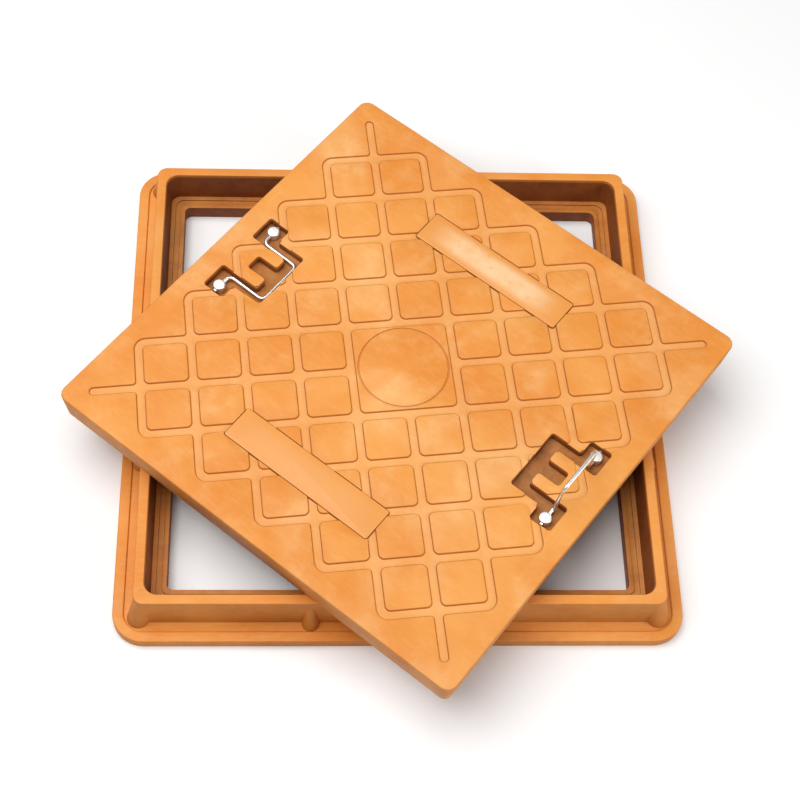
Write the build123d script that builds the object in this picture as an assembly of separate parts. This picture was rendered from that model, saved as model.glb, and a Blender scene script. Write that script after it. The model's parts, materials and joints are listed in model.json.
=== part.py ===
from build123d import *

import math
import os

# Square composite manhole cover with two swinging lift handles, laid skewed on top of its own frame.
# Millimetres, +Z up. The origin is the centre of the frame's clear opening, on the plane it stands on.
# X and Y run along the frame's sides.

# ---- driving dimensions ---------------------------------------------------------------------------

# cover
COVER_SIZE = 600.0          # side of the square cover at its top
COVER_DEPTH = 42.0          # overall depth, equal to the depth of the seat
SIDE_DRAFT = 6.0            # degrees that the cover's sides and the seat's walls lean
COVER_CORNER = 14.0         # plan radius of the cover's corners at the top
COVER_EDGE_ROUND = 2.5
PLATE = 14.0                # thickness of the top plate
SKIRT = 22.0                # width of the solid border under the plate
RIB = 16.0                  # width of the underside ribs
RIB_CELLS = 4               # hollow cells along each side
CELL_DRAFT = 3.0            # degrees
CELL_CORNER = 10.0

# tread, laid out on the cover's diagonals
PAD_PITCH = 64.6
GROOVE_WIDTH = 9.8
GROOVE_DEPTH = 2.2
PAD_CORNER = 7.0
STEP_OUTER_ROUND = 14.0     # rounding of the stepped outline's outer corners
STEP_INNER_ROUND = 4.5
TREAD_BORDER = 16.0         # least plain border between the tread and the cover's sides
GROOVE_END_INSET = 40.0     # from the sharp corner of the cover to the end of the diagonal groove
DISC_RADIUS = 56.0          # blank round panel in the middle
DISC_LINE = 1.6
DISC_LINE_DEPTH = 1.0

# blank name strips, let into the top
STRIP_LENGTH = 220.0
STRIP_WIDTH = 47.0
STRIP_THICKNESS = 4.0
STRIP_CORNER = 3.0
STRIP_GAP = 0.4
STRIP_INSET = 111.5         # from the cover's side to the strip's middle line

# lift handles (bails) of bent round wire
WIRE = 5.0
BAIL_REACH = 55.0           # pivot axis to the middle of the crossbar
BAIL_HALF_WIDTH = 33.0      # middle of the bail to the middle of a leg
BAIL_INNER_BEND = 7.0       # bend radii of the wire's middle line
BAIL_OUTER_BEND = 8.0
PIN_TAIL = 2.5              # wire that shows past the bolt head
RAISED_ANGLE = 95.0         # a raised bail leans this far over from flat, towards the cover's side
FLOOR_GAP = 0.3             # air under the crossbar of a stowed bail

# handle pockets
PIVOT_INSET = 45.0          # cover's side to the pivot axis
POCKET_DEPTH = 12.0
POCKET_DRAFT = 3.0          # degrees
POCKET_CORNER = 4.0
POCKET_FLOOR = 14.0         # material under the pocket
HOOK_GAP = 1.5              # crossbar to the pocket's inner wall
FINGER_ROOM = 11.5          # crossbar to the tips of the two tongues
FINGER_SLOT = 22.0          # width of the recess between the tongues
FINGER_SLOT_INSET = 11.0    # outer end of that recess to the pivot axis
LEG_GAP_INNER = 2.5
LEG_GAP_OUTER = 8.5
SOCKET_INNER = 16.0         # pivot axis to the socket's inner wall
SOCKET_OUTER = 15.0
PIN_END_GAP = 2.5

# pivot bolts, washers and nuts
BOLT_OFFSET = 20.0          # leg to the bolt's axis, along the pivot axis
HEAD_DIA = 16.0
HEAD_HEIGHT = 10.0
HEAD_TOP_ROUND = 4.2
HEAD_FOOT_ROUND = 1.2
EYE_HEIGHT = 5.5            # pocket floor to the middle of the cross hole
EYE_CLEARANCE = 0.06        # radial
BOLT_DIA = 8.0
BOLT_HOLE_CLEARANCE = 0.2   # radial, bolt in the cover and in the washer
BOLT_POINT = 2.5            # bolt below the nut
BOLT_CHAMFER = 1.0
WASHER_DIA = 17.0
WASHER_THICKNESS = 1.6
NUT_FLATS = 13.0
NUT_HEIGHT = 6.5
NUT_CLEARANCE = 0.05        # radial
NUT_CHAMFER = 0.5           # along the nut's axis, and twice as far across

# embedded steel bars
BAR_DIA = 8.0
BAR_GAP = 0.05              # radial shrinkage gap round an embedded bar
BAR_COVER = 5.0             # resin under the lower layer
BAR_LAYER_GAP = 0.4         # between the lengthwise and the crosswise layer
BAR_END_COVER = 11.0        # cover's foot to the end of a bar

# frame
SEAT_CLEARANCE = 2.0        # cover to seat wall, each side
RIM = 12.5                  # width of the wall's top
WALL_FLARE = 3.0            # how much further out the wall stands at its foot
LEDGE_WIDTH = 18.6
LEDGE_HEIGHT = 21.0
LEDGE_CORNER = 8.0
LEDGE_GROOVE_WIDTH = 7.0
LEDGE_GROOVE_DEPTH = 1.5
RIM_CORNER = 13.0           # plan radius of the wall's corners at the top
RIM_ROUND = 1.5
FLANGE_REACH = 25.0         # from the wall's foot to the flange's edge
FLANGE_THICKNESS = 12.0
FLANGE_CORNER = 38.0
BAND_WIDTH = 13.5           # raised outer band of the flange
BAND_HEIGHT = 2.5
BAND_ROUND = 2.0
POST_FOOT_RADIUS = 15.0     # round posts outside the wall's corners
POST_TOP_RADIUS = 9.5
POST_FOOT_IN = 4.5          # the post's middle inside the wall's foot
POST_TOP_IN = 2.0           # the post's edge inside the rim's edge, at the top
BUTTRESS_OFFSET = 107.0     # middle of a side to each half-round buttress
BUTTRESS_FOOT_RADIUS = 12.0
BUTTRESS_TOP_RADIUS = 4.0
BUTTRESS_FOOT_OUT = 4.0     # the buttress's middle past the wall's foot
BUTTRESS_TOP_IN = 2.5
POST_SHOULDER = 2.0         # posts and buttresses end this far under the rim
HOOP_HEIGHT = 11.0          # middle of the embedded hoop above the base
HOOP_CORNER = 24.0

# how the cover lies on the frame
COVER_TURN = -39.4          # degrees about Z
COVER_SHIFT_X = 6.0
COVER_SHIFT_Y = -18.0

# ---- worked-out places ----------------------------------------------------------------------------

DRAFT_IN = COVER_DEPTH * math.tan(math.radians(SIDE_DRAFT))
COVER_HALF = COVER_SIZE / 2
COVER_FOOT = COVER_SIZE - 2 * DRAFT_IN

RIB_FIELD = COVER_FOOT - 2 * SKIRT
RIB_PITCH = (RIB_FIELD + RIB) / RIB_CELLS
CELL = RIB_PITCH - RIB

SEAT_TOP = COVER_SIZE + 2 * SEAT_CLEARANCE
SEAT_FOOT = COVER_FOOT + 2 * SEAT_CLEARANCE
SEAT_CORNER = COVER_CORNER + SEAT_CLEARANCE
CLEAR_OPENING = SEAT_FOOT - 2 * LEDGE_WIDTH
FRAME_HEIGHT = LEDGE_HEIGHT + COVER_DEPTH
RIM_OUTER = SEAT_TOP + 2 * RIM
WALL_FOOT = RIM_OUTER + 2 * WALL_FLARE
FLANGE_SIZE = WALL_FOOT + 2 * FLANGE_REACH

PIVOT_U = COVER_HALF - PIVOT_INSET
POCKET_FLOOR_Z = COVER_DEPTH - POCKET_DEPTH
PIVOT_Z = POCKET_FLOOR_Z + EYE_HEIGHT
BOLT_W = BAIL_HALF_WIDTH + BOLT_OFFSET
PIN_END_W = BOLT_W + HEAD_DIA / 2 + PIN_TAIL
NUT_SEAT_Z = POCKET_FLOOR_Z - POCKET_FLOOR
STOWED_DROP = math.degrees(math.asin((EYE_HEIGHT - WIRE / 2 - FLOOR_GAP) / BAIL_REACH))

COVER_PLACE = Location((COVER_SHIFT_X, COVER_SHIFT_Y, FRAME_HEIGHT), (0, 0, COVER_TURN))


# ---- shared shapes --------------------------------------------------------------------------------

def drafted_square(foot, foot_corner, z_foot, top, top_corner, z_top):
    """A rounded square block whose sides lean."""
    sections = [
        Pos(0, 0, z_foot) * RectangleRounded(foot, foot, foot_corner),
        Pos(0, 0, z_top) * RectangleRounded(top, top, top_corner),
    ]
    return loft(sections, ruled=True)


def leaning_post(foot_at, foot_radius, z_foot, top_at, top_radius, z_top):
    """A round column that narrows and leans towards the wall."""
    foot = Pos(*foot_at, z_foot) * Circle(foot_radius)
    top = Pos(*top_at, z_top) * Circle(top_radius)
    return loft([foot, top], ruled=True)


def quarter_turns(shape):
    return [Rot(0, 0, 90 * turn) * shape for turn in range(4)]


# ---- frame ----------------------------------------------------------------------------------------

def frame_hoop(radius):
    """One closed hoop of round bar under the wall, with the given bar radius."""
    side = SEAT_TOP + RIM
    path = (Pos(0, 0, HOOP_HEIGHT) * RectangleRounded(side, side, HOOP_CORNER)).wire()
    return sweep(Plane(origin=path @ 0, z_dir=path % 0) * Circle(radius), path=path)


def flange():
    plate = extrude(RectangleRounded(FLANGE_SIZE, FLANGE_SIZE, FLANGE_CORNER), FLANGE_THICKNESS)
    inner = FLANGE_SIZE - 2 * BAND_WIDTH
    ring = RectangleRounded(FLANGE_SIZE, FLANGE_SIZE, FLANGE_CORNER)
    ring -= RectangleRounded(inner, inner, FLANGE_CORNER - BAND_WIDTH)
    plate += extrude(Pos(0, 0, FLANGE_THICKNESS) * ring, BAND_HEIGHT)
    band_top = plate.faces().sort_by(Axis.Z)[-1]
    return fillet(band_top.edges(), BAND_ROUND)


def frame_body():
    wall = drafted_square(WALL_FOOT, RIM_CORNER + WALL_FLARE, 0, RIM_OUTER, RIM_CORNER, FRAME_HEIGHT)
    wall = fillet(wall.faces().sort_by(Axis.Z)[-1].edges(), RIM_ROUND)

    post_foot = WALL_FOOT / 2 - POST_FOOT_IN
    post_top = RIM_OUTER / 2 - POST_TOP_RADIUS - POST_TOP_IN
    post_z = FRAME_HEIGHT - POST_SHOULDER
    post = leaning_post((post_foot, post_foot), POST_FOOT_RADIUS, 0,
                        (post_top, post_top), POST_TOP_RADIUS, post_z)
    buttress_foot = WALL_FOOT / 2 + BUTTRESS_FOOT_OUT
    buttress_top = RIM_OUTER / 2 - BUTTRESS_TOP_RADIUS - BUTTRESS_TOP_IN
    buttresses = [
        leaning_post((x, buttress_foot), BUTTRESS_FOOT_RADIUS, 0,
                     (x, buttress_top), BUTTRESS_TOP_RADIUS, post_z)
        for x in (-BUTTRESS_OFFSET, BUTTRESS_OFFSET)
    ]

    body = flange() + wall
    for shape in [post] + buttresses:
        body += quarter_turns(shape)

    body -= drafted_square(SEAT_FOOT, SEAT_CORNER - DRAFT_IN, LEDGE_HEIGHT,
                           SEAT_TOP, SEAT_CORNER, FRAME_HEIGHT)
    body -= extrude(RectangleRounded(CLEAR_OPENING, CLEAR_OPENING, LEDGE_CORNER), LEDGE_HEIGHT)

    middle = CLEAR_OPENING + LEDGE_WIDTH
    groove = RectangleRounded(middle + LEDGE_GROOVE_WIDTH, middle + LEDGE_GROOVE_WIDTH,
                              LEDGE_CORNER + LEDGE_GROOVE_WIDTH / 2)
    groove -= RectangleRounded(middle - LEDGE_GROOVE_WIDTH, middle - LEDGE_GROOVE_WIDTH, LEDGE_CORNER)
    body -= extrude(Pos(0, 0, LEDGE_HEIGHT) * groove, -LEDGE_GROOVE_DEPTH)

    rim_face = body.faces().sort_by(Axis.Z)[-1]
    body = fillet(rim_face.inner_wires()[0].edges(), RIM_ROUND)
    return body - frame_hoop(BAR_DIA / 2 + BAR_GAP)


# ---- cover, in its own place: middle of the underside at the origin, U along X and W along Y ------

def bar_lines():
    """Where the bars run, the same along U and W: down the middle of each inner rib and of the border."""
    border = (COVER_FOOT - SKIRT) / 2
    ribs = [(n - RIB_CELLS / 2) * RIB_PITCH for n in range(1, RIB_CELLS)]
    return [-border] + ribs + [border]


def bar_layer(z, radius):
    """Straight bars along U."""
    length = COVER_FOOT - 2 * BAR_END_COVER
    return [Pos(0, w, z) * Rot(0, 90, 0) * Cylinder(radius, length) for w in bar_lines()]


def bars(radius):
    """Both layers of bars: lengthwise below, crosswise resting just above."""
    low = BAR_COVER + BAR_DIA / 2
    high = low + BAR_DIA + BAR_LAYER_GAP
    return bar_layer(low, radius), [Rot(0, 0, 90) * bar for bar in bar_layer(high, radius)]


def cell_hollows():
    """The hollow cells under the plate, shallower where a handle pocket comes down."""
    pocket_from = PIVOT_U - BAIL_REACH - RIB
    pocket_half = PIN_END_W + PIN_END_GAP + RIB / 2
    middles = [(n - (RIB_CELLS - 1) / 2) * RIB_PITCH for n in range(RIB_CELLS)]
    hollows = []
    for u in middles:
        for w in middles:
            under_pocket = abs(u) + CELL / 2 > pocket_from and abs(w) - CELL / 2 < pocket_half
            depth = NUT_SEAT_Z if under_pocket else COVER_DEPTH - PLATE
            square = Pos(u, w, 0) * RectangleRounded(CELL, CELL, CELL_CORNER)
            hollows.append(extrude(square, depth, taper=CELL_DRAFT))
    return hollows


def tread_steps():
    """How many pads fit from the middle to the tip, along a diagonal of the cover."""
    room = (COVER_HALF - TREAD_BORDER) * math.sqrt(2) - GROOVE_WIDTH
    return int(room / PAD_PITCH) - 1


def groove_outline():
    """The grooved field: a stepped diamond, with a groove running on to each corner of the cover."""
    steps = tread_steps()
    field = Sketch()
    for step in range(1, steps + 1):
        field += Rectangle(2 * (steps + 1 - step) * PAD_PITCH + GROOVE_WIDTH,
                           2 * step * PAD_PITCH + GROOVE_WIDTH)
    tip = (steps + 1) * PAD_PITCH + GROOVE_WIDTH
    outer = [v for v in field.vertices() if abs(v.X) + abs(v.Y) > tip - PAD_PITCH / 2]
    field = fillet(outer, STEP_OUTER_ROUND)

    run = 2 * (COVER_HALF * math.sqrt(2) - GROOVE_END_INSET)
    field += SlotOverall(run, GROOVE_WIDTH)
    field += SlotOverall(run, GROOVE_WIDTH, rotation=90)
    notch = tip - PAD_PITCH
    corners = [v for v in field.vertices() if abs(abs(v.X) + abs(v.Y) - notch) < GROOVE_WIDTH / 4]
    return fillet(corners, STEP_INNER_ROUND)


def pads():
    """The pads that stand between the grooves, and the plain square in the middle."""
    steps = tread_steps()
    side = PAD_PITCH - GROOVE_WIDTH
    places = []
    for a in range(1, steps + 1):
        for b in range(1, steps + 2 - a):
            if (a, b) != (1, 1):
                x, y = (a - 0.5) * PAD_PITCH, (b - 0.5) * PAD_PITCH
                places += [(x, y), (-x, y), (x, -y), (-x, -y)]
    squares = Locations(places) * RectangleRounded(side, side, PAD_CORNER)
    return Sketch() + squares + RectangleRounded(side + PAD_PITCH, side + PAD_PITCH, PAD_CORNER)


def pocket_outline():
    """Plan of the right-hand handle pocket: crossbar, two legs, two sockets, and the finger recess."""
    bar_u = PIVOT_U - BAIL_REACH
    inner_wall = bar_u - WIRE / 2 - HOOK_GAP
    tongue_tip = bar_u + WIRE / 2 + FINGER_ROOM
    leg_in = BAIL_HALF_WIDTH - WIRE / 2 - LEG_GAP_INNER
    leg_out = BAIL_HALF_WIDTH + WIRE / 2 + LEG_GAP_OUTER
    socket_end = PIN_END_W + PIN_END_GAP

    def plan(u0, u1, w0, w1):
        return Pos((u0 + u1) / 2, (w0 + w1) / 2) * Rectangle(u1 - u0, w1 - w0)

    outline = plan(inner_wall, tongue_tip, -leg_out, leg_out)
    outline += plan(inner_wall, PIVOT_U - FINGER_SLOT_INSET, -FINGER_SLOT / 2, FINGER_SLOT / 2)
    for side in (-1, 1):
        w = sorted((side * leg_in, side * leg_out))
        outline += plan(inner_wall, PIVOT_U, *w)
        w = sorted((side * leg_in, side * socket_end))
        outline += plan(PIVOT_U - SOCKET_INNER, PIVOT_U + SOCKET_OUTER, *w)
    return fillet(outline.vertices(), POCKET_CORNER)


def name_strip():
    """The right-hand (W positive) strip."""
    w = COVER_HALF - STRIP_INSET
    plan = RectangleRounded(STRIP_LENGTH - 2 * STRIP_GAP, STRIP_WIDTH - 2 * STRIP_GAP, STRIP_CORNER)
    strip = extrude(Pos(0, w, COVER_DEPTH) * plan, -STRIP_THICKNESS)
    return fillet(strip.faces().sort_by(Axis.Z)[-1].edges(), STRIP_GAP)


def cover_body():
    foot_corner = COVER_CORNER - DRAFT_IN
    body = drafted_square(COVER_FOOT, foot_corner, 0, COVER_SIZE, COVER_CORNER, COVER_DEPTH)
    body = fillet(body.faces().sort_by(Axis.Z)[-1].edges(), COVER_EDGE_ROUND)

    top = Pos(0, 0, COVER_DEPTH)
    tread = top * Rot(0, 0, 45) * (groove_outline() - pads())
    body -= extrude(tread, -GROOVE_DEPTH)
    ring = Circle(DISC_RADIUS + DISC_LINE / 2) - Circle(DISC_RADIUS - DISC_LINE / 2)
    body -= extrude(top * ring, -DISC_LINE_DEPTH)

    slot = RectangleRounded(STRIP_LENGTH, STRIP_WIDTH, STRIP_CORNER + STRIP_GAP)
    pocket = extrude(top * pocket_outline(), -POCKET_DEPTH, taper=POCKET_DRAFT)
    for half_turn in (0, 180):
        turn = Rot(0, 0, half_turn)
        body -= turn * extrude(Pos(0, COVER_HALF - STRIP_INSET, COVER_DEPTH) * slot, -STRIP_THICKNESS)
        body -= turn * pocket

    body -= cell_hollows()
    up = (Align.CENTER, Align.CENTER, Align.MIN)
    hole = Cylinder(BOLT_DIA / 2 + BOLT_HOLE_CLEARANCE, COVER_DEPTH, align=up)
    for u in (-PIVOT_U, PIVOT_U):
        for w in (-BOLT_W, BOLT_W):
            body -= Pos(u, w, 0) * hole
    for layer in bars(BAR_DIA / 2 + BAR_GAP):
        body -= layer
    return body


# ---- lift handles ---------------------------------------------------------------------------------

def bail():
    """Bent wire bail lying flat: pivot axis on Y through the origin, crossbar at X = -BAIL_REACH."""
    half = BAIL_HALF_WIDTH
    path = FilletPolyline(
        (0, -PIN_END_W), (0, -half), (-BAIL_REACH, -half),
        (-BAIL_REACH, half), (0, half), (0, PIN_END_W),
        radius=[BAIL_OUTER_BEND, BAIL_INNER_BEND, BAIL_INNER_BEND, BAIL_OUTER_BEND],
    )
    return sweep(Plane(origin=path @ 0, z_dir=path % 0) * Circle(WIRE / 2), path=path)


def right_bail():
    """Raised, and leaning past upright against its stop."""
    return Pos(PIVOT_U, 0, PIVOT_Z) * Rot(0, RAISED_ANGLE, 0) * bail()


def left_bail():
    """Stowed in its pocket, with the crossbar down on the floor."""
    return Rot(0, 0, 180) * Pos(PIVOT_U, 0, PIVOT_Z) * Rot(0, -STOWED_DROP, 0) * bail()


def pivot_bolt():
    """Round-headed bolt with a cross hole for the wire. Its axis is on Z, with the head's seat at Z = 0."""
    up = (Align.CENTER, Align.CENTER, Align.MIN)
    head = Cylinder(HEAD_DIA / 2, HEAD_HEIGHT, align=up)
    rims = head.edges().filter_by(GeomType.CIRCLE).sort_by(Axis.Z)
    head = fillet(rims[-1], HEAD_TOP_ROUND)
    head = fillet(head.edges().filter_by(GeomType.CIRCLE).sort_by(Axis.Z)[0], HEAD_FOOT_ROUND)
    head -= Pos(0, 0, EYE_HEIGHT) * Rot(90, 0, 0) * Cylinder(WIRE / 2 + EYE_CLEARANCE, HEAD_DIA)
    length = POCKET_FLOOR + WASHER_THICKNESS + NUT_HEIGHT + BOLT_POINT
    shank = Cylinder(BOLT_DIA / 2, length, align=(Align.CENTER, Align.CENTER, Align.MAX))
    shank = chamfer(shank.edges().sort_by(Axis.Z)[0], BOLT_CHAMFER)
    return head + shank


def washer():
    ring = Circle(WASHER_DIA / 2) - Circle(BOLT_DIA / 2 + BOLT_HOLE_CLEARANCE)
    return extrude(ring, -WASHER_THICKNESS)


def nut():
    """Plain hexagon nut with its corners turned off at both ends, top face at Z = 0."""
    corner_radius = NUT_FLATS / math.sqrt(3)
    block = extrude(RegularPolygon(corner_radius, 6), -NUT_HEIGHT)
    down = (Align.CENTER, Align.CENTER, Align.MAX)
    turned = Cylinder(corner_radius, NUT_HEIGHT, align=down)
    turned = chamfer(turned.edges().filter_by(GeomType.CIRCLE), NUT_CHAMFER, 2 * NUT_CHAMFER)
    block = block & turned
    return block - Cylinder(BOLT_DIA / 2 + NUT_CLEARANCE, NUT_HEIGHT, align=down)


def fasteners():
    """Bolt, washer and nut for each of the four pivots, named by handle and by end of the handle."""
    made = {}
    for side, u in (("left", -PIVOT_U), ("right", PIVOT_U)):
        for end, w in (("front", -BOLT_W), ("back", BOLT_W)):
            made[f"{side}_bolt_{end}"] = Pos(u, w, POCKET_FLOOR_Z) * pivot_bolt()
            made[f"{side}_washer_{end}"] = Pos(u, w, NUT_SEAT_Z) * washer()
            made[f"{side}_nut_{end}"] = Pos(u, w, NUT_SEAT_Z - WASHER_THICKNESS) * nut()
    return made


# ---- assembly -------------------------------------------------------------------------------------

def assembly():
    lengthwise, crosswise = bars(BAR_DIA / 2)
    strip = name_strip()
    on_cover = {
        "cover_body": cover_body(),
        "cover_bars_lengthwise": Compound(lengthwise),
        "cover_bars_crosswise": Compound(crosswise),
        "name_strip_back": strip,
        "name_strip_front": Rot(0, 0, 180) * strip,
        "left_bail": left_bail(),
        "right_bail": right_bail(),
        **fasteners(),
    }
    nodes = {"frame_body": frame_body(), "frame_hoop": frame_hoop(BAR_DIA / 2)}
    nodes.update({name: COVER_PLACE * shape for name, shape in on_cover.items()})
    return nodes


os.makedirs("parts", exist_ok=True)
for name, shape in assembly().items():
    export_step(shape, f"parts/{name}.step")
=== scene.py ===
import json
import math

import bmesh
import bpy
from bpy.props import FloatProperty, FloatVectorProperty, PointerProperty
from mathutils import Matrix, Vector


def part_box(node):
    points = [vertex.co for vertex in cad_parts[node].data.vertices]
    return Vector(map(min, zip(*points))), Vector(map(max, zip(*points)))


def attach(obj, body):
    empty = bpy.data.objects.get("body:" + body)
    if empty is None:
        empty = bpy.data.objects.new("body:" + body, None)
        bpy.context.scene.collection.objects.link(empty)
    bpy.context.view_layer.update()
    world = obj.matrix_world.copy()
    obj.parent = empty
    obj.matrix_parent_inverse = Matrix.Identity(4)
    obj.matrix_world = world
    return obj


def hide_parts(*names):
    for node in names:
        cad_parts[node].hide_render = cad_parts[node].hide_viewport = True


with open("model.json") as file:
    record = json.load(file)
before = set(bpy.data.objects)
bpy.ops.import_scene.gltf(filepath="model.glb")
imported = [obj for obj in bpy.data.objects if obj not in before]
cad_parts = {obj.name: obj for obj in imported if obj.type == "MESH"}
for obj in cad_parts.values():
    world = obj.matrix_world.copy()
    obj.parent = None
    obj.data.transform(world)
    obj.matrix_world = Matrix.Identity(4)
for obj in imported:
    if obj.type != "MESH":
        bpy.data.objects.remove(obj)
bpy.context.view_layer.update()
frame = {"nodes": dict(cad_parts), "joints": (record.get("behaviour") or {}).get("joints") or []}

bl_info = {
    "name": "Square Composite Manhole Cover",
    "version": (1, 0, 0),
    "blender": (4, 5, 0),
    "location": "View3D > Sidebar > Manhole",
    "description": "A moulded square cover with swinging wire lift handles, lying on its seat frame",
    "category": "Add Mesh",
}

ENDS = [(side, end) for side in ("left", "right") for end in ("front", "back")]
SEAM = 2e-6            # vertices nearer than this are one
SHORT_EDGE = 2e-4      # edges shorter than this are closed up before a casting's edges are rounded
CLOSE = 1e-4           # places nearer than this are the same
LEVEL = 0.99           # a face whose normal points up or down by more than this is level
UPRIGHT = 0.5          # a face whose normal points up or down by less than this is a wall


# ---- places, worked out from the frame ------------------------------------------------------------

def hinge(name):
    """A handle's hinge: its place and its axis's direction."""
    joint = next(j for j in frame["joints"] if j["name"] == name)
    return Vector(joint["pos_m"]), Vector(joint["axis"])


LEFT_PIVOT, _ = hinge("left_handle_swing")
RIGHT_PIVOT, PIVOT_AXIS = hinge("right_handle_swing")
_, COVER_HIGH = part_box("cover_body")
COVER_MIDDLE = (LEFT_PIVOT + RIGHT_PIVOT) / 2
COVER_TOP = COVER_HIGH.z
ACROSS = (RIGHT_PIVOT - LEFT_PIVOT).normalized()        # from the left handle to the right one
COVER_TURN = math.atan2(ACROSS.y, ACROSS.x)
PIVOT_REACH = (RIGHT_PIVOT - LEFT_PIVOT).length / 2     # cover's middle to a pivot axis
BOLT_LOW, BOLT_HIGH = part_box("right_bolt_back")
BOLT_MIDDLE = (BOLT_LOW + BOLT_HIGH) / 2
BOLT_OUT = abs((BOLT_MIDDLE - RIGHT_PIVOT).dot(PIVOT_AXIS))    # handle's middle to a bolt
_, FRAME_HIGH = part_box("frame_body")
POCKET_LIMIT = PIVOT_REACH + 0.030     # half-width that holds the handle pockets
POCKET_NEAR = PIVOT_REACH - 0.075      # where the handle pockets begin
POCKET_HALF = 0.060                    # half the room a handle pocket takes
POCKET_DEPTH = 0.0125                  # the pockets are a little less deep than this
SEAT_LIMIT = 0.3035                    # half-width of the seat's mouth
MARK_PLACE = (-0.3045, -0.3005)        # the round mark, at the front left corner of the frame's rim
PAD_STEPS = ((0.4, 0.35), (0.6, 0.25))      # shares of a pad's slope, from its rim: width and height
PAD_PEAK = 0.4                         # the share of the height that is left for the pad's middle

CAMERA_TARGET = Vector((-0.00682, -0.02458, 0.050))
OVERHEAD_PLACE = (-0.9, 0.1)           # the overhead softbox hangs a little to the left
SIDE_PLACE = (2.6, -1.4, 1.3)          # the side softbox stands at the front right
SIDE_SIZE = 1.0                        # its diameter


def on_cover(across, along, height):
    """The place of a piece given in the cover's own directions, with height from the ground."""
    place = Matrix.Translation((COVER_MIDDLE.x, COVER_MIDDLE.y, 0))
    place @= Matrix.Rotation(COVER_TURN, 4, "Z")
    return place @ Matrix.Translation((across, along, height))


FROM_COVER = on_cover(0, 0, 0).inverted()


def beside_pocket(point):
    """Whether a point on the cover lies next to a handle pocket."""
    across, along, _ = FROM_COVER @ point
    return POCKET_NEAR < abs(across) < POCKET_LIMIT and abs(along) < POCKET_HALF


# ---- sizes and colours ----------------------------------------------------------------------------

def length(name, description, default):
    """A length in metres."""
    return FloatProperty(name=name, description=description, default=default, unit="LENGTH", precision=5)


def angle(name, description, degrees):
    """An angle, whose default is given in degrees."""
    return FloatProperty(name=name, description=description, default=math.radians(degrees), subtype="ANGLE")


def colour(name, description, default):
    """A colour, in linear light."""
    return FloatVectorProperty(name=name, description=description, default=default, size=3, min=0, max=1,
                               subtype="COLOR")


class MouldingSizes(bpy.types.PropertyGroup):
    cover_edge: length("Cover edge", "Rounding of the cover's moulded edges", 0.0005)
    frame_edge: length("Frame edge", "Rounding of the frame's moulded edges", 0.0005)
    groove_depth: length("Groove depth", "Depth of the grooves between the tread pads", 0.0022)
    groove_shoulder: length("Groove shoulder", "Rounding of the tread pads' rims", 0.0016)
    pad_crown: length("Pad crown", "How far a tread pad's middle stands over its rim", 0.0004)
    pad_shoulder: length("Pad shoulder", "Width of the slope round a tread pad's middle", 0.0048)
    pad_side: length("Pad side", "Side of a whole tread pad", 0.0548)
    mark_radius: length("Ejector mark", "Radius of the round mark on the frame's rim", 0.004)
    mark_depth: length("Ejector mark depth", "Depth of the round mark", 0.0005)


class StripSizes(bpy.types.PropertyGroup):
    strip_length: length("Length", "Length of a name strip", 0.2192)
    strip_width: length("Width", "Width of a name strip", 0.0462)
    thickness: length("Thickness", "Thickness of a name strip", 0.004)
    corner: length("Corner", "Plan radius of a strip's corners", 0.003)
    edge: length("Edge", "Rounding of a strip's top edges", 0.0012)
    middle: length("Middle", "From the cover's middle to the strip's middle", 0.1885)
    crown: length("Crown", "How far the strip's middle stands over its edge", 0.0003)
    shoulder: length("Shoulder", "Width of the slope round the strip's middle", 0.0012)


class HandleSizes(bpy.types.PropertyGroup):
    wire: length("Wire", "Diameter of the handle's wire", 0.005)
    reach: length("Reach", "From the pivot axis to the middle of the crossbar", 0.055)
    half_width: length("Half width", "From the handle's middle to the middle of a leg", 0.033)
    inner_bend: length("Inner bend", "Bend radius at the crossbar", 0.007)
    outer_bend: length("Outer bend", "Bend radius at the pivot", 0.008)
    tail: length("Tail", "Wire that shows past the bolt's head", 0.0025)
    end_round: length("End round", "Rounding of the wire's cut ends", 0.0008)
    raised: angle("Raised", "How far the raised handle stands over from flat", 95.0)
    stowed: angle("Stowed", "How far the stowed handle drops from flat", 2.815)


class BoltSizes(bpy.types.PropertyGroup):
    head_diameter: length("Head", "Diameter of the bolt's head", 0.016)
    head_height: length("Head height", "Height of the head over its seat", 0.010)
    head_round: length("Head round", "Rounding of the head's top", 0.0018)
    edge: length("Edge", "Rounding of the bolt's other edges", 0.0003)
    foot_round: length("Foot round", "Rounding of the head's foot", 0.0012)
    eye_height: length("Eye height", "From the head's seat to the middle of the cross hole", 0.0055)
    eye_diameter: length("Eye", "Diameter of the cross hole", 0.00512)
    shank_diameter: length("Shank", "Diameter of the shank", 0.008)
    shank_length: length("Shank length", "From the head's seat to the end of the shank", 0.0246)


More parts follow.
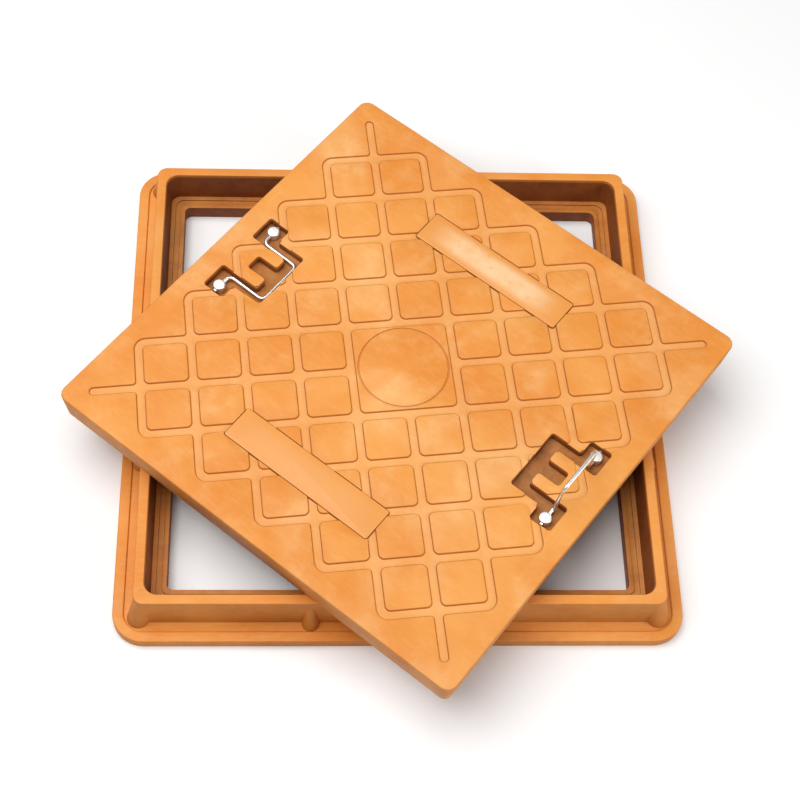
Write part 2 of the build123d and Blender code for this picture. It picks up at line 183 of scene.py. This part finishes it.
class Colours(bpy.types.PropertyGroup):
    orange: colour("Orange", "Moulded composite", (0.80, 0.318, 0.057))
    deep: colour("Deep orange", "Composite where the resin is rich", (0.70, 0.215, 0.022))
    pale: colour("Pale orange", "Composite where the filler shows", (0.86, 0.47, 0.180))
    # Painted shade on the grooves' walls.
    amber_shade: colour("Amber", "Composite on the walls of shallow grooves", (0.47, 0.140, 0.015))
    # Painted shade in the hollows and on the name strips' sides; on the outer sides partly painted shade,
    # partly the composite's own browner tone.
    brown_and_shade: colour("Brown", "Composite sides and hollows", (0.21, 0.054, 0.008))
    # Painted shade on the walls inside the pockets and the seat.
    umber_shade: colour("Umber", "Composite walls inside pockets and the seat", (0.155, 0.029, 0.002))
    strip: colour("Strip", "The name strips", (0.76, 0.300, 0.062))
    strip_pale: colour("Strip, pale", "Pale patches on the name strips", (0.89, 0.57, 0.30))
    stainless: colour("Stainless", "Wire and bolts", (0.90, 0.89, 0.86))
    zinc: colour("Zinc", "Washers and nuts", (0.60, 0.61, 0.62))
    bar: colour("Bar", "Reinforcing steel", (0.20, 0.15, 0.12))
    floor: colour("Floor", "The pale floor", (0.93, 0.93, 0.93))
    floor_pale: colour("Floor, pale", "Pale drifts on the floor", (0.96, 0.96, 0.955))


class StageSizes(bpy.types.PropertyGroup):
    floor_size: length("Floor", "Side of the floor", 12.0)
    softbox_height: length("Softbox height", "Height of the overhead softbox", 2.6)
    softbox_size: length("Softbox size", "Diameter of the overhead softbox", 3.2)
    softbox_power: FloatProperty(name="Softbox power", description="Watts of the overhead softbox",
                                 default=82.0)
    side_power: FloatProperty(name="Side power", description="Watts of the side softbox", default=34.0)
    sky: FloatProperty(name="Sky", description="Strength of the light from all round", default=0.28)
    lens: FloatProperty(name="Lens", description="Focal length", default=74.50, unit="CAMERA")
    distance: length("Distance", "Camera to its target", 2.08903)
    turn: angle("Turn", "Camera's turn round the object", -6.13)
    height: angle("Height", "Camera's height over the horizon", 60.51)
    roll: angle("Roll", "Camera's roll", 5.72)
    shift_x: FloatProperty(name="Shift X", description="Lens shift", default=0.0111, precision=5)
    shift_y: FloatProperty(name="Shift Y", description="Lens shift", default=-0.0082, precision=5)


GROUPS = {
    "manhole_moulding": MouldingSizes,
    "manhole_strip": StripSizes,
    "manhole_handle": HandleSizes,
    "manhole_bolt": BoltSizes,
    "manhole_colours": Colours,
    "manhole_stage": StageSizes,
}


# ---- hand work ------------------------------------------------------------------------------------

def clear_selection():
    """Leaves edit mode and deselects everything."""
    if bpy.context.mode != "OBJECT":
        bpy.ops.object.mode_set(mode="OBJECT")
    bpy.ops.object.select_all(action="DESELECT")


def take(piece):
    """Selects one piece and makes it the active one."""
    clear_selection()
    piece.select_set(True)
    bpy.context.view_layer.objects.active = piece


def edit(piece, mode="VERT"):
    """Opens one piece in edit mode, with nothing selected."""
    take(piece)
    bpy.ops.object.mode_set(mode="EDIT")
    bpy.ops.mesh.select_mode(type=mode)
    bpy.ops.mesh.select_all(action="DESELECT")


def pick(kind, test):
    """Selects the vertices, edges or faces of the edited mesh that pass the test, and counts them."""
    bpy.ops.mesh.select_all(action="DESELECT")
    mesh = bmesh.from_edit_mesh(bpy.context.object.data)
    mesh.normal_update()
    found = [part for part in getattr(mesh, kind) if test(part)]
    for part in found:
        part.select_set(True)
    mesh.select_flush_mode()
    bmesh.update_edit_mesh(bpy.context.object.data)
    return len(found)


def finish_edit():
    bpy.ops.object.mode_set(mode="OBJECT")


def middle(edge):
    """The middle of an edge."""
    return (edge.verts[0].co + edge.verts[1].co) / 2


def height_of(face):
    """The height of a face's middle."""
    return face.calc_center_median().z


def modify(piece, kind, **settings):
    """Adds a modifier, sets it and applies it."""
    take(piece)
    modifier = piece.modifiers.new(kind.title(), kind)
    for name, value in settings.items():
        setattr(modifier, name, value)
    bpy.ops.object.modifier_apply(modifier=modifier.name)


def cut(piece, cutter, solver="EXACT"):
    """Cuts one piece with another, which is used up."""
    modify(piece, "BOOLEAN", operation="DIFFERENCE", object=cutter, solver=solver)
    bpy.data.objects.remove(cutter)


def round_edges(piece, width, segments=3, sharper_than=35.0):
    """Rounds the edges that turn by more than an angle in degrees."""
    modify(piece, "BEVEL", width=width, segments=segments, limit_method="ANGLE",
           angle_limit=math.radians(sharper_than), use_clamp_overlap=False, miter_outer="MITER_ARC")


def smooth(piece):
    """Shades a piece smooth, apart from its sharp edges."""
    take(piece)
    bpy.ops.object.shade_smooth_by_angle(angle=math.radians(40.0))


def settle(piece, name, material, body, slot, *nodes):
    """Names a finished piece, gives it its finish and lets it ride on its body."""
    take(piece)
    bpy.ops.object.transform_apply(location=True, rotation=True, scale=True)
    piece.name = name
    piece.data.name = name
    piece.data.materials.clear()
    piece.data.materials.append(material)
    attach(piece, body)
    if nodes:
        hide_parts(*nodes)
    clear_selection()


def copy_to(piece, place):
    """A copy with its own mesh, carried to its place."""
    copy = piece.copy()
    copy.data = piece.data.copy()
    bpy.context.scene.collection.objects.link(copy)
    copy.matrix_world = place
    return copy


def casting_from(node):
    """A copy of a moulded part's node, with its seams merged and its flats made whole again."""
    source = frame["nodes"][node]
    piece = source.copy()
    piece.data = source.data.copy()
    piece.parent = None
    for key in list(piece.keys()):
        del piece[key]
    bpy.context.scene.collection.objects.link(piece)
    take(piece)
    bpy.ops.mesh.customdata_custom_splitnormals_clear()
    edit(piece)
    bpy.ops.mesh.select_all(action="SELECT")
    bpy.ops.mesh.remove_doubles(threshold=SEAM)
    bpy.ops.mesh.dissolve_limited(angle_limit=math.radians(0.3))
    bpy.ops.mesh.remove_doubles(threshold=SHORT_EDGE)
    finish_edit()
    return piece


# ---- finishes -------------------------------------------------------------------------------------

# Heights below a casting's top between which its colour changes.
ON_GROOVE_FLOORS = (0.0012, 0.0021)
BELOW_GROOVES = (0.003, 0.004)
BELOW_RIMS = (0.0024, 0.0036)
BELOW_PADS = (0.0024, 0.005)
ON_POCKET_FLOORS = (0.006, 0.011)
SIDE_FADE = 0.0008                     # half the width over which the dark walls begin
DEPTH_FADE = 0.001                     # the height over which they end

# How many marks a surface has to a metre, along each axis.
WIRE_MARKS = (900.0, 900.0, 60.0)
HEAD_MARKS = (40.0, 700.0, 700.0)
ZINC_MARKS = (300.0, 300.0, 300.0)
BAR_MARKS = (90.0, 90.0, 90.0)
MOULDING_STREAKS = (60.0, 210.0, 90.0)


class Value:
    """A socket of a finish's nodes. Sums and products of values add Math nodes."""

    def __init__(self, finish, socket):
        self.finish = finish
        self.socket = socket

    def math(self, operation, *values):
        return self.finish.node("Math", {"operation": operation}, dict(enumerate(values)))

    def __add__(self, other):
        return self.math("ADD", self, other)

    def __rsub__(self, other):
        return self.math("SUBTRACT", other, self)

    def __mul__(self, other):
        return self.math("MULTIPLY", self, other)

    def size(self):
        return self.math("ABSOLUTE", self)

    __radd__ = __add__
    __rmul__ = __mul__

    def between(self, low, high):
        """0 below low, 1 above high, and smooth in between."""
        return self.finish.node("MapRange", {"interpolation_type": "SMOOTHSTEP"},
                                {"Value": self, "From Min": low, "From Max": high})


class Finish:
    """A material in the making: a Principled shader and what feeds it."""

    def __init__(self, name, constants):
        self.material = bpy.data.materials.new(name)
        self.material.use_nodes = True
        self.tree = self.material.node_tree
        self.shader = self.tree.nodes["Principled BSDF"]
        for socket, value in constants.items():
            self.shader.inputs[socket].default_value = value

    def node(self, kind, settings, inputs, output=0):
        """Any node: its type, its settings, and the values or links of its sockets."""
        made = self.tree.nodes.new("ShaderNode" + kind)
        for name, value in settings.items():
            setattr(made, name, value)
        for name, value in inputs.items():
            self.feed(made.inputs[name], value)
        return Value(self, made.outputs[output])

    def feed(self, socket, value):
        if isinstance(value, Value):
            self.tree.links.new(value.socket, socket)
        else:
            socket.default_value = value

    def set(self, socket, value):
        self.feed(self.shader.inputs[socket], value)

    def coordinates(self, place=(0, 0, 0), turn=0.0):
        """Object coordinates, measured from a place and along turned axes."""
        whole = self.node("TexCoord", {}, {}, "Object")
        return self.node("Mapping", {"vector_type": "TEXTURE"},
                         {"Vector": whole, "Location": place, "Rotation": (0, 0, turn)})

    def part_of(self, vector, axis):
        return self.node("SeparateXYZ", {}, {"Vector": vector}, axis)

    def facing(self):
        """How far a face looks up: 1 on level faces, 0 on upright ones, -1 on the underside."""
        return self.part_of(self.node("TexCoord", {}, {}, "Normal"), "Z")

    def facing_up(self):
        """1 on level faces, 0 on upright ones."""
        return self.facing().between(0.50, LEVEL)

    def stretched(self, vector, scale):
        return self.node("Mapping", {}, {"Vector": vector, "Scale": scale})

    def noise(self, vector, scale, detail=2.0, roughness=0.5):
        return self.node("TexNoise", {}, {"Vector": vector, "Scale": scale, "Detail": detail,
                                          "Roughness": roughness})

    def cells(self, vector, scale):
        return self.node("TexVoronoi", {}, {"Vector": vector, "Scale": scale}, "Distance")

    def blend(self, first, second, amount):
        """From the first colour to the second."""
        colours = [value if isinstance(value, Value) else (*value, 1.0) for value in (first, second)]
        return self.node("Mix", {"data_type": "RGBA"}, {0: amount, 6: colours[0], 7: colours[1]}, 2)

    def bump(self, height, distance, strength):
        self.set("Normal", self.node("Bump", {}, {"Height": height, "Distance": distance,
                                                  "Strength": strength}))


def composite_finish(name, place, turn, top, bleaching, inner, deepest, darkening):
    """Moulded glass-filled polyester: mottled orange, with pale patches by its bleaching, paler in its
    grooves, with painted shade on the grooves' walls, and browner on its sides, partly as painted shade. The
    walls that stand within its inner half-width, no deeper than deepest below its top, are painted dark as
    shade, and the floor between them is painted browner as shade."""
    colours = bpy.context.scene.manhole_colours
    finish = Finish(name, {"IOR": 1.5, "Specular IOR Level": 0.32})
    at = finish.coordinates(place, turn)
    drop = top - finish.part_of(at, "Z")
    across = finish.part_of(at, "X").size()
    along = finish.part_of(at, "Y").size()
    outward = across.math("MAXIMUM", across, along)
    enclosed = 1.0 - outward.between(inner - SIDE_FADE, inner + SIDE_FADE)
    level = finish.facing_up()
    slope = 1.0 - level

    drifts = finish.noise(at, 5.5, 3.0, 0.55).between(0.38, 0.66)
    clouds = finish.noise(at, 17.0, 4.0, 0.6).between(0.36, 0.70)
    patches = finish.noise(at, 8.0, 3.0, 0.5).between(0.50, 0.68)
    mottle = finish.noise(at, 70.0, 5.0, 0.65).between(0.30, 0.74)
    streaks = finish.noise(finish.stretched(at, MOULDING_STREAKS), 1.0, 3.0, 0.6).between(0.42, 0.72)
    grain = finish.noise(at, 900.0, 2.0, 0.6)
    specks = finish.noise(at, 420.0, 1.0, 0.5).between(0.66, 0.78)
    scuffs = finish.noise(at, 26.0, 4.0, 0.7).between(0.35, 0.75)

    base = finish.blend(colours.deep, colours.orange, drifts * 0.75 + 0.25)
    base = finish.blend(base, colours.pale, (clouds * mottle * 0.6 + patches * 0.5) * bleaching)
    base = finish.blend(base, colours.pale, streaks * 0.14)
    groove = drop.between(*ON_GROOVE_FLOORS) * (1.0 - drop.between(*BELOW_GROOVES)) * level
    base = finish.blend(base, colours.pale, groove * 0.30)
    base = finish.blend(base, colours.deep, specks * 0.30)
    shallow = (1.0 - drop.between(*BELOW_RIMS)) * enclosed
    # Painted shade: the grooves' rounded walls are painted amber, as the shade that falls in the grooves.
    rim = (1.0 - finish.facing().between(0.82, 1.0)) * shallow
    base = finish.blend(base, colours.amber_shade, rim * 0.82)
    # The sides are painted browner: partly painted shade on the walls, partly the sides' own less bleached
    # composite.
    side = slope * (0.33 + 0.15 * scuffs) * (1.0 - shallow * 0.45)
    base = finish.blend(base, colours.brown_and_shade, side)
    seen = (1.0 - drop.between(deepest, deepest + DEPTH_FADE)) * finish.facing().between(-0.7, -0.3)
    sunk_shade = drop.between(*BELOW_PADS) * enclosed * seen
    # Painted shade: the floors of the pockets and of the seat are painted browner, by a given share, as the
    # shade in these hollows.
    floor_shade = drop.between(*ON_POCKET_FLOORS) * enclosed * level * seen
    base = finish.blend(base, colours.brown_and_shade, floor_shade * (darkening + 0.28 * scuffs))
    # Painted shade: the walls inside the pockets and the seat are painted dark umber, as the shade that
    # falls in them.
    base = finish.blend(base, colours.umber_shade, sunk_shade * slope * (0.80 + 0.15 * scuffs))
    finish.set("Base Color", base)
    finish.set("Roughness", 0.46 + 0.12 * mottle + 0.10 * slope)
    waves = finish.noise(at, 9.0, 2.0, 0.5) * 0.6
    pits = finish.cells(at, 340.0).between(0.0, 0.16) * 0.08
    finish.bump(waves + mottle * 0.05 + grain * 0.06 + pits, 0.0016, 0.6)
    return finish.material


def strip_finish(name, place, turn, pale_share, shift):
    """Smoother composite of a name strip, paler along its middle by its pale share. The shift moves the
    pattern, so that no two strips look the same."""
    colours = bpy.context.scene.manhole_colours
    finish = Finish(name, {"IOR": 1.5})
    at = finish.coordinates(place, turn)
    shifted = finish.coordinates((place[0] + shift, place[1] - shift, place[2]), turn)
    sizes = bpy.context.scene.manhole_strip
    half_length = sizes.strip_length / 2
    half_width = sizes.strip_width / 2
    along = finish.part_of(at, "X").size()
    aside = finish.part_of(at, "Y").size()
    inner = 1.0 - along.between(half_length * 0.45, half_length * 0.98)
    inner = inner * (1.0 - aside.between(half_width * 0.35, half_width * 0.95))
    clouds = finish.noise(shifted, 24.0, 4.0, 0.62).between(0.28, 0.62)
    mottle = finish.noise(shifted, 95.0, 4.0, 0.65).between(0.32, 0.72)
    level = finish.facing_up()
    base = finish.blend(colours.orange, colours.strip, clouds * 0.8 + mottle * 0.2)
    base = finish.blend(base, colours.strip_pale, inner * (0.55 + 0.45 * clouds) * pale_share)
    stains = finish.noise(shifted, 60.0, 3.0).between(0.58, 0.72)
    base = finish.blend(base, colours.orange, stains * 0.45)
    # Painted shade: the strip's sides are painted brown, as the shade in the gap round the strip.
    finish.set("Base Color", finish.blend(colours.brown_and_shade, base, level * 0.8 + 0.2))
    finish.set("Roughness", 0.36 + 0.12 * mottle)
    waves = finish.noise(shifted, 20.0, 2.0) * 0.5
    grain = finish.noise(at, 800.0, 2.0) * 0.05
    finish.bump(waves + grain, 0.001, 0.5)
    return finish.material


def steel_finish(name, colour_name, roughness, marks_per_metre, place, turn, darkening=0.0):
    """Drawn, turned or plated metal with fine marks and a few dull patches."""
    colours = bpy.context.scene.manhole_colours
    finish = Finish(name, {"Metallic": 1.0})
    at = finish.coordinates(place, turn)
    marks = finish.noise(finish.stretched(at, marks_per_metre), 1.0, 3.0, 0.6)
    dull = finish.noise(at, 160.0, 3.0, 0.6).between(0.45, 0.75)
    bright = tuple(getattr(colours, colour_name))
    dark = tuple(part * (0.80 - darkening) for part in bright)
    finish.set("Base Color", finish.blend(bright, dark, dull * 0.6 + darkening))
    finish.set("Roughness", roughness + 0.10 * dull + 0.06 * marks)
    finish.bump(marks, 0.00005, 0.35)
    return finish.material


def floor_finish():
    """The pale, matt floor."""
    colours = bpy.context.scene.manhole_colours
    finish = Finish("pale_floor", {"Roughness": 0.85, "Specular IOR Level": 0.2})
    at = finish.coordinates()
    haze = finish.noise(at, 1.2, 2.0)
    finish.set("Base Color", finish.blend(colours.floor, colours.floor_pale, haze))
    return finish.material


# ---- pieces ---------------------------------------------------------------------------------------

class MANHOLE_OT_cover_moulding(bpy.types.Operator):
    """Make the cover's moulding, with rounded tread edges and crowned pads"""
    bl_idname = "manhole.cover_moulding"
    bl_label = "Cover moulding"

    def round_groove_rims(self, cover, sizes):
        """Rounds the grooves' upper edges, apart from those that end at a pocket's wall."""
        groove_floor = COVER_TOP - sizes.groove_depth

        def groove_wall(face):
            lowest = min(v.co.z for v in face.verts)
            return abs(face.normal.z) < UPRIGHT and abs(lowest - groove_floor) < CLOSE

        def groove_rim(edge):
            on_top = all(abs(v.co.z - COVER_TOP) < CLOSE for v in edge.verts)
            return on_top and any(groove_wall(face) for face in edge.link_faces)

        edit(cover, "EDGE")
        pick("edges", lambda e: groove_rim(e) and not beside_pocket(middle(e)))
        bpy.ops.mesh.bevel(offset=sizes.groove_shoulder, segments=3, offset_type="OFFSET", loop_slide=False)
        finish_edit()

    def crown_pads(self, cover, sizes):
        """Raises the middles of the whole tread pads a little over their rims."""
        square = (sizes.pad_side - 2 * sizes.groove_shoulder) ** 2
        least = 0.97 * square          # the rounded corners take a little off

        def whole_pad(face):
            on_top = face.normal.z > LEVEL and abs(height_of(face) - COVER_TOP) < CLOSE
            return on_top and least < face.calc_area() < square

        edit(cover, "FACE")
        if not pick("faces", whole_pad):
            raise RuntimeError("the cover has no whole tread pads")
        for width, rise in PAD_STEPS:
            bpy.ops.mesh.inset(thickness=sizes.pad_shoulder * width, depth=sizes.pad_crown * rise,
                               use_individual=True)
        bpy.ops.mesh.poke(offset=sizes.pad_crown * PAD_PEAK)
        finish_edit()

    def execute(self, context):
        sizes = context.scene.manhole_moulding
        cover = casting_from("cover_body")
        self.round_groove_rims(cover, sizes)
        self.crown_pads(cover, sizes)
        round_edges(cover, sizes.cover_edge)
        smooth(cover)
        material = composite_finish("cover_composite", COVER_MIDDLE, COVER_TURN, COVER_TOP - COVER_MIDDLE.z,
                                    bleaching=0.75, inner=POCKET_LIMIT, deepest=POCKET_DEPTH, darkening=0.55)
        settle(cover, "cover_moulding", material, "cover", "composite", "cover_body")
        return {"FINISHED"}


class MANHOLE_OT_frame_moulding(bpy.types.Operator):
    """Make the seat frame's moulding, with rounded edges and the round mark on its rim"""
    bl_idname = "manhole.frame_moulding"
    bl_label = "Frame moulding"

    def execute(self, context):
        sizes = context.scene.manhole_moulding
        seat = casting_from("frame_body")
        round_edges(seat, sizes.frame_edge)
        clear_selection()
        bpy.ops.mesh.primitive_cylinder_add(vertices=24, radius=sizes.mark_radius,
                                            depth=2 * sizes.mark_depth, location=(*MARK_PLACE, FRAME_HIGH.z))
        cut(seat, bpy.context.object, "FAST")
        smooth(seat)
        material = composite_finish("frame_composite", (0, 0, 0), 0.0, FRAME_HIGH.z,
                                    bleaching=0.30, inner=SEAT_LIMIT, deepest=FRAME_HIGH.z, darkening=0.34)
        settle(seat, "seat_frame_moulding", material, "frame", "composite", "frame_body")
        return {"FINISHED"}


class MANHOLE_OT_name_strips(bpy.types.Operator):
    """Make the two blank name strips, slightly crowned"""
    bl_idname = "manhole.name_strips"
    bl_label = "Name strips"

    def execute(self, context):
        sizes = context.scene.manhole_strip
        clear_selection()
        bpy.ops.mesh.primitive_cube_add(size=1, location=(0, 0, -sizes.thickness / 2))
        strip = bpy.context.object
        strip.scale = (sizes.strip_length, sizes.strip_width, sizes.thickness)
        take(strip)
        bpy.ops.object.transform_apply(location=True, rotation=True, scale=True)
        edit(strip, "EDGE")
        pick("edges", lambda e: abs(e.verts[0].co.z - e.verts[1].co.z) > sizes.thickness / 2)
        bpy.ops.mesh.bevel(offset=sizes.corner, segments=6, offset_type="OFFSET")
        bpy.ops.mesh.select_mode(type="FACE")
        pick("faces", lambda f: f.normal.z > LEVEL)
        clear_of_edge = 1.1 * sizes.edge
        bpy.ops.mesh.inset(thickness=clear_of_edge, depth=0)
        bpy.ops.mesh.inset(thickness=sizes.shoulder, depth=sizes.crown)
        finish_edit()
        round_edges(strip, sizes.edge)
        smooth(strip)
        for end, side, pale_share, shift in (("front", -1, 0.12, 0.31), ("back", 1, 0.95, 0.07)):
            place = on_cover(0, side * sizes.middle, COVER_TOP)
            copy = copy_to(strip, place)
            material = strip_finish(f"strip_{end}", place.translation, COVER_TURN, pale_share, shift)
            settle(copy, f"blank_strip_{end}", material, "cover", "strip_composite", f"name_strip_{end}")
        bpy.data.objects.remove(strip)
        return {"FINISHED"}


class MANHOLE_OT_handles(bpy.types.Operator):
    """Bend the two wire lift handles, one stowed and one raised"""
    bl_idname = "manhole.handles"
    bl_label = "Lift handles"

    def bend(self, sizes, head_diameter):
        """A handle lying flat: its pivot axis on Y, and its crossbar towards minus X."""
        pin = BOLT_OUT + head_diameter / 2 + sizes.tail
        half, reach = sizes.half_width, sizes.reach
        clear_selection()
        bpy.ops.mesh.primitive_plane_add(size=2)
        wire = bpy.context.object
        edit(wire)
        bpy.ops.mesh.select_all(action="SELECT")
        bpy.ops.mesh.merge(type="CENTER")
        bpy.ops.transform.translate(value=(0, -pin, 0))
        out = (0, pin - half, 0)
        for step in (out, (-reach, 0, 0), (0, 2 * half, 0), (reach, 0, 0), out):
            bpy.ops.mesh.extrude_region_move(TRANSFORM_OT_translate={"value": step})
        for at_x, radius in ((0.0, sizes.outer_bend), (-reach, sizes.inner_bend)):
            pick("verts", lambda v: abs(v.co.x - at_x) < CLOSE and abs(abs(v.co.y) - half) < CLOSE)
            bpy.ops.mesh.bevel(offset=radius, segments=10, affect="VERTICES", offset_type="OFFSET")
        finish_edit()
        take(wire)
        bpy.ops.object.convert(target="CURVE")
        wire = bpy.context.object
        wire.data.bevel_depth = sizes.wire / 2
        wire.data.bevel_resolution = 6
        wire.data.use_fill_caps = True
        bpy.ops.object.convert(target="MESH")
        wire = bpy.context.object
        edit(wire)
        bpy.ops.mesh.select_all(action="SELECT")
        bpy.ops.mesh.remove_doubles(threshold=SEAM)
        bpy.ops.mesh.normals_make_consistent(inside=False)
        finish_edit()
        round_edges(wire, sizes.end_round, sharper_than=60.0)
        smooth(wire)
        return wire

    def execute(self, context):
        sizes = context.scene.manhole_handle
        wire = self.bend(sizes, context.scene.manhole_bolt.head_diameter)
        poses = (("left", math.pi, -sizes.stowed, LEFT_PIVOT), ("right", 0.0, sizes.raised, RIGHT_PIVOT))
        for side, facing, swing, pivot in poses:
            place = Matrix.Translation(pivot) @ Matrix.Rotation(COVER_TURN + facing, 4, "Z")
            place @= Matrix.Rotation(swing, 4, "Y")
            copy = copy_to(wire, place)
            material = steel_finish(f"{side}_wire", "stainless", 0.28, WIRE_MARKS, pivot, COVER_TURN)
            settle(copy, f"{side}_lift_handle", material, f"{side}_handle", "stainless_wire",
                   f"{side}_bail")
        bpy.data.objects.remove(wire)
        return {"FINISHED"}


class MANHOLE_OT_pivot_bolts(bpy.types.Operator):
    """Turn one round-headed pivot bolt, bore its eye and set a copy at each handle's end"""
    bl_idname = "manhole.pivot_bolts"
    bl_label = "Pivot bolts"

    def turn_bolt(self, sizes):
        """A bolt that stands upright, with its head's seat at height 0 and its eye along Y."""
        radius = sizes.head_diameter / 2
        clear_selection()
        bpy.ops.mesh.primitive_cylinder_add(vertices=64, radius=radius, depth=sizes.head_height,
                                            location=(0, 0, sizes.head_height / 2))
        bolt = bpy.context.object
        take(bolt)
        bpy.ops.object.transform_apply(location=True, rotation=True, scale=True)
        edit(bolt, "FACE")
        pick("faces", lambda f: f.normal.z < -LEVEL)
        shank = sizes.shank_diameter / 2
        bpy.ops.mesh.inset(thickness=radius - shank, depth=0)
        bpy.ops.mesh.extrude_region_move(TRANSFORM_OT_translate={"value": (0, 0, -sizes.shank_length)})
        bpy.ops.mesh.select_mode(type="EDGE")
        rims = ((sizes.head_height, sizes.head_round, 8), (0.0, sizes.foot_round, 4))
        for height, offset, segments in rims:
            pick("edges", lambda e: middle(e).xy.length > radius * 0.95
                 and all(abs(v.co.z - height) < CLOSE for v in e.verts))
            bpy.ops.mesh.bevel(offset=offset, segments=segments, offset_type="OFFSET")
        clear_selection()
        bpy.ops.mesh.primitive_cylinder_add(vertices=32, radius=sizes.eye_diameter / 2, depth=4 * radius,
                                            location=(0, 0, sizes.eye_height), rotation=(math.pi / 2, 0, 0))
        cut(bolt, bpy.context.object)
        round_edges(bolt, sizes.edge, segments=2, sharper_than=50.0)
        smooth(bolt)
        return bolt

    def execute(self, context):
        sizes = context.scene.manhole_bolt
        bolt = self.turn_bolt(sizes)
        seat = LEFT_PIVOT.z - sizes.eye_height
        for side, end in ENDS:
            across = PIVOT_REACH if side == "right" else -PIVOT_REACH
            along = BOLT_OUT if end == "back" else -BOLT_OUT
            place = on_cover(across, along, seat)
            copy = copy_to(bolt, place)
            material = steel_finish(f"{side}_{end}_head", "stainless", 0.42, HEAD_MARKS, place.translation,
                                    COVER_TURN)
            settle(copy, f"{side}_pivot_bolt_{end}", material, "cover", "stainless_bolt",
                   f"{side}_bolt_{end}")
        bpy.data.objects.remove(bolt)
        return {"FINISHED"}


class MANHOLE_OT_plain_metal(bpy.types.Operator):
    """Give the washers, nuts and embedded bars their finishes"""
    bl_idname = "manhole.plain_metal"
    bl_label = "Washers, nuts and bars"

    def execute(self, context):
        zinc = steel_finish("zinc_plate", "zinc", 0.34, ZINC_MARKS, (0, 0, 0), 0.0, darkening=0.08)
        bar = steel_finish("bar_steel", "bar", 0.62, BAR_MARKS, (0, 0, 0), COVER_TURN, darkening=0.10)
        finishes = {f"{side}_{kind}_{end}": zinc for side, end in ENDS for kind in ("washer", "nut")}
        for name in ("frame_hoop", "cover_bars_lengthwise", "cover_bars_crosswise"):
            finishes[name] = bar
        for name, material in finishes.items():
            for slot in frame["nodes"][name].material_slots:
                slot.material = material
        return {"FINISHED"}


class MANHOLE_OT_stage(bpy.types.Operator):
    """Lay the pale floor and set the soft lights and the camera"""
    bl_idname = "manhole.stage"
    bl_label = "Stage"

    def camera(self, context, sizes):
        """Makes the camera, at its distance from its target and rolled about its own line of sight."""
        back = Vector((math.sin(sizes.turn) * math.cos(sizes.height),
                       -math.cos(sizes.turn) * math.cos(sizes.height), math.sin(sizes.height)))
        level = Vector((math.cos(sizes.turn), math.sin(sizes.turn), 0))
        upright = back.cross(level)
        right = level * math.cos(sizes.roll) + upright * math.sin(sizes.roll)
        up = back.cross(right)
        clear_selection()
        bpy.ops.object.camera_add()
        camera = bpy.context.object
        turn = Matrix((right, up, back)).transposed().to_4x4()
        camera.matrix_world = Matrix.Translation(CAMERA_TARGET + back * sizes.distance) @ turn
        camera.data.lens = sizes.lens
        camera.data.shift_x = sizes.shift_x
        camera.data.shift_y = sizes.shift_y
        context.scene.camera = camera

    def softbox(self, name, place, size, power):
        """Makes a round softbox that faces the origin."""
        clear_selection()
        bpy.ops.object.light_add(type="AREA", location=place)
        light = bpy.context.object
        light.name = name
        light.data.shape = "DISK"
        light.data.size = size
        light.data.energy = power
        light.rotation_euler = (-Vector(place)).to_track_quat("-Z", "Y").to_euler()

    def execute(self, context):
        sizes = context.scene.manhole_stage
        clear_selection()
        bpy.ops.mesh.primitive_plane_add(size=sizes.floor_size)
        floor = bpy.context.object
        floor.name = "floor"
        floor.data.materials.append(floor_finish())
        self.camera(context, sizes)
        self.softbox("overhead", (*OVERHEAD_PLACE, sizes.softbox_height), sizes.softbox_size,
                     sizes.softbox_power)
        self.softbox("side", SIDE_PLACE, SIDE_SIZE, sizes.side_power)
        world = bpy.data.worlds.new("studio")
        world.use_nodes = True
        sky = world.node_tree.nodes["Background"].inputs
        sky["Color"].default_value = (1, 1, 1, 1)
        sky["Strength"].default_value = sizes.sky
        context.scene.world = world
        context.scene.view_settings.view_transform = "Standard"
        return {"FINISHED"}


# ---- panel and registration -----------------------------------------------------------------------

STEPS = (
    MANHOLE_OT_cover_moulding,
    MANHOLE_OT_frame_moulding,
    MANHOLE_OT_name_strips,
    MANHOLE_OT_handles,
    MANHOLE_OT_pivot_bolts,
    MANHOLE_OT_plain_metal,
    MANHOLE_OT_stage,
)


class MANHOLE_PT_panel(bpy.types.Panel):
    """Sizes, colours and steps of the manhole cover"""
    bl_idname = "MANHOLE_PT_panel"
    bl_label = "Manhole cover"
    bl_space_type = "VIEW_3D"
    bl_region_type = "UI"
    bl_category = "Manhole"

    def draw(self, context):
        for step in STEPS:
            self.layout.operator(step.bl_idname)
        for group in GROUPS:
            box = self.layout.box()
            settings = getattr(context.scene, group)
            for name in settings.__annotations__:
                box.prop(settings, name)


CLASSES = (*GROUPS.values(), *STEPS, MANHOLE_PT_panel)


def register():
    for kind in CLASSES:
        bpy.utils.register_class(kind)
    for name, kind in GROUPS.items():
        setattr(bpy.types.Scene, name, PointerProperty(type=kind))


def unregister():
    for name in GROUPS:
        delattr(bpy.types.Scene, name)
    for kind in reversed(CLASSES):
        bpy.utils.unregister_class(kind)


def main():
    register()
    for step in STEPS:
        getattr(bpy.ops.manhole, step.bl_idname.split(".")[1])()


if __name__ == "__main__":
    main()
